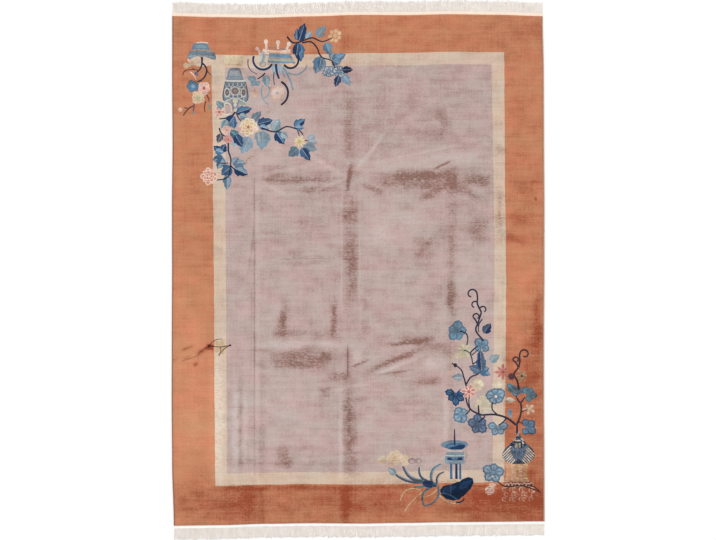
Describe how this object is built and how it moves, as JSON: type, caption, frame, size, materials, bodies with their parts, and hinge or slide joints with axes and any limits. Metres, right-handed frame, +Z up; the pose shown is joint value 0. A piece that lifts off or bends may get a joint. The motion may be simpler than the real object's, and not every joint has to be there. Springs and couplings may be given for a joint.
{
  "type": "chinese rug",
  "caption": "Room-size hand-knotted wool rug with a pale field, a banded terracotta border, wound side cords and a cotton fringe at each end, lying flat.",
  "frame": {"origin": "on the floor, under the middle of the rug's outline with its fringes", "axes": "+X across the width, +Y along the length towards the end that is at the top of the picture, +Z up out of the pile"},
  "size_m": [2.6766, 3.8872, 0.0134],
  "materials": {
    "wool_pile": "clipped wool pile, worn",
    "side_cord": "wound wool yarn, matte",
    "fringe_cotton": "undyed cotton, matte"
  },
  "bodies": {
    "root": {"pile_body": "wool_pile", "side_cord_left": "side_cord", "side_cord_right": "side_cord", "fringe_upper": "fringe_cotton", "fringe_lower": "fringe_cotton"}
  },
  "joints": []
}
